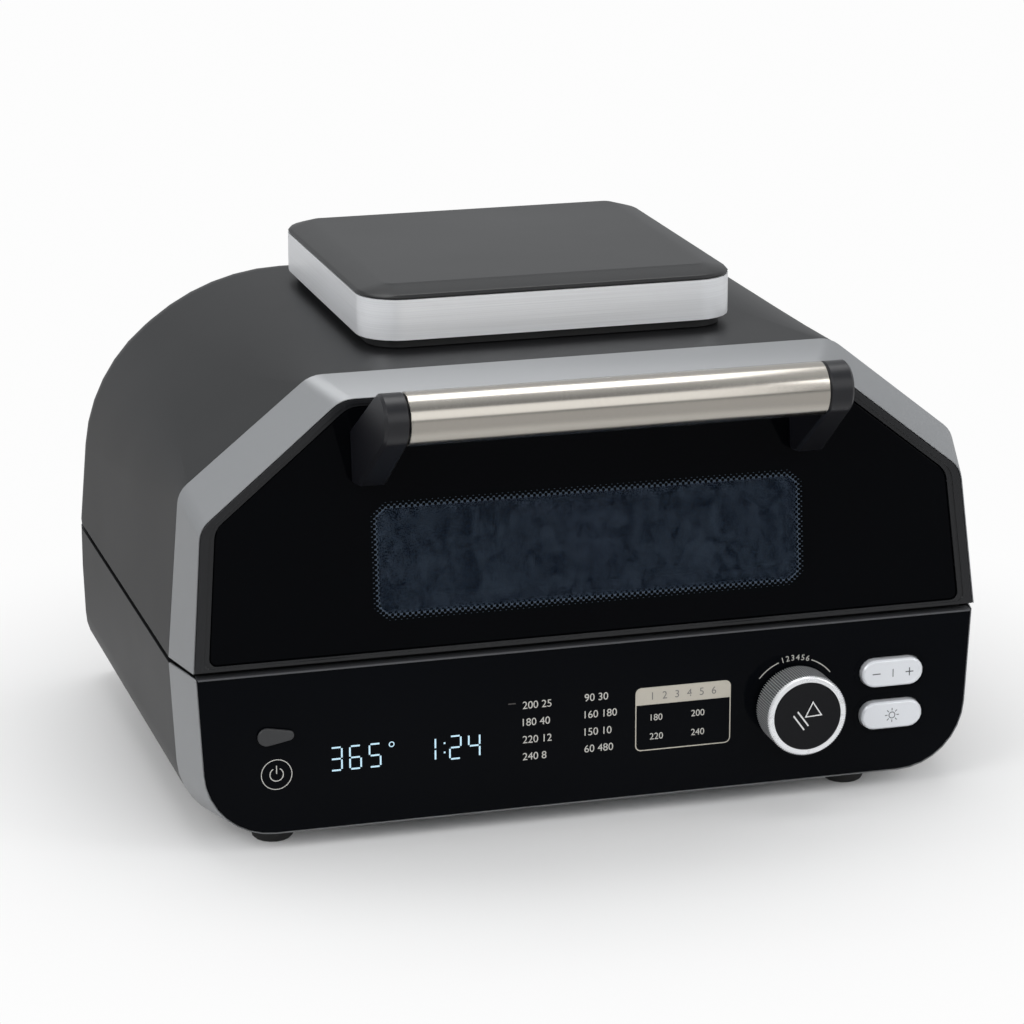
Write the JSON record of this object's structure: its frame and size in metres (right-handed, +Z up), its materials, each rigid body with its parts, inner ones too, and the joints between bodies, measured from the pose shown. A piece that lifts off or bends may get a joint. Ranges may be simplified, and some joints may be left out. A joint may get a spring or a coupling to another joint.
{
  "type": "indoor grill and air fryer",
  "caption": "Countertop electric grill and air fryer: rear-hinged octagonal lid with window and bar handle over a base with pot, grill plate, dial, push buttons and display.",
  "frame": {"origin": "on the plane the feet stand on, under the middle of the overall box", "axes": "+X to the right seen from the front, +Y to the back where the lid hinges, +Z up; the control panel faces -Y"},
  "size_m": [0.43, 0.3758, 0.2708],
  "materials": {
    "satin_black": "fine satin",
    "silver_trim": "satin metallic paint",
    "panel_gloss": "high gloss",
    "black_glass": "polished, printed black behind",
    "clear_glass": "polished",
    "brushed_band": "brushed",
    "handle_steel": "brushed round",
    "moulded_black": "fine grain",
    "sheet_steel": "bare sheet",
    "coated_aluminium": "non-stick coating",
    "key_silver": "satin metallic",
    "dial_metal": "turned and knurled",
    "foot_rubber": "matte",
    "seal_silicone": "matte",
    "circuit_board": "solder resist",
    "heater_steel": "oxidised"
  },
  "bodies": {
    "base": {"base_shell": "satin_black", "base_trim": "silver_trim", "control_panel": "panel_gloss", "panel_rail": "silver_trim", "deck_frame": "moulded_black", "inner_tub": "sheet_steel", "control_board": "circuit_board", "display_module": "moulded_black", "power_board": "circuit_board", "cord_gland": "foot_rubber", "probe_jack": "moulded_black", "foot_front_left": "foot_rubber", "foot_front_right": "foot_rubber", "foot_rear_left": "foot_rubber", "foot_rear_right": "foot_rubber", "dial_encoder": "sheet_steel", "upper_switch": "moulded_black", "lower_switch": "moulded_black", "hinge_bracket_left": "sheet_steel", "hinge_bracket_right": "sheet_steel", "hinge_pin_left": "sheet_steel", "hinge_pin_right": "sheet_steel"},
    "lid": {"lid_shell": "satin_black", "lid_trim": "silver_trim", "lid_bezel": "moulded_black", "lid_glass": "black_glass", "handle_tube": "handle_steel", "handle_bracket_left": "moulded_black", "handle_bracket_right": "moulded_black", "rear_vent": "moulded_black", "top_plinth": "moulded_black", "top_band": "brushed_band", "top_cap": "satin_black", "lid_liner": "sheet_steel", "lid_seal": "seal_silicone", "window_shroud": "moulded_black", "inner_pane": "clear_glass", "heating_element": "heater_steel", "heater_guard": "sheet_steel", "lamp_lens": "clear_glass", "lamp_holder": "sheet_steel", "air_sensor": "sheet_steel", "motor_bridge": "sheet_steel", "fan_motor": "sheet_steel", "hinge_arm_left": "sheet_steel", "hinge_arm_right": "sheet_steel"},
    "fan": {"fan_shaft": "sheet_steel", "hot_air_fan": "sheet_steel", "cooling_fan": "moulded_black"},
    "spindle": {"dial_spindle": "dial_metal"},
    "dial": {"dial_ring": "dial_metal", "dial_cap": "panel_gloss"},
    "upper_key": {"upper_button": "key_silver"},
    "lower_key": {"lower_button": "key_silver"},
    "probe_flap": {"probe_cover": "moulded_black"},
    "pot": {"cooking_pot": "coated_aluminium"},
    "plate": {"grill_plate": "coated_aluminium"}
  },
  "joints": [
    {"name": "lid_hinge", "type": "hinge", "parent": "base", "child": "lid", "pos_m": [0, 0.1814, 0.097], "axis": [-1, 0, 0], "range_deg": [0, 80]},
    {"name": "fan_spin", "type": "hinge", "parent": "lid", "child": "fan", "pos_m": [0, 0.0264, 0.2], "axis": [0, 0, 1], "continuous": true},
    {"name": "dial_turn", "type": "hinge", "parent": "base", "child": "spindle", "pos_m": [0.1095, -0.1496, 0.052], "axis": [0, 1, 0], "continuous": true},
    {"name": "dial_press", "type": "slide", "parent": "spindle", "child": "dial", "axis": [0, 1, 0], "range_m": [0, 0.0012], "stiffness_N_per_m": 800, "springref_m": -0.001},
    {"name": "upper_button_press", "type": "slide", "parent": "base", "child": "upper_key", "axis": [0, 1, 0], "range_m": [0, 0.0012], "stiffness_N_per_m": 600, "springref_m": -0.001},
    {"name": "lower_button_press", "type": "slide", "parent": "base", "child": "lower_key", "axis": [0, 1, 0], "range_m": [0, 0.0012], "stiffness_N_per_m": 600, "springref_m": -0.001},
    {"name": "probe_cover_swing", "type": "hinge", "parent": "base", "child": "probe_flap", "pos_m": [-0.1609, -0.1406, 0.0622], "axis": [0, 1, 0], "range_deg": [0, 90]},
    {"name": "pot_lift", "type": "slide", "parent": "base", "child": "pot", "axis": [0, 0, 1], "range_m": [0, 0.075]},
    {"name": "plate_lift", "type": "slide", "parent": "pot", "child": "plate", "axis": [0, 0, 1], "range_m": [0, 0.075]}
  ]
}
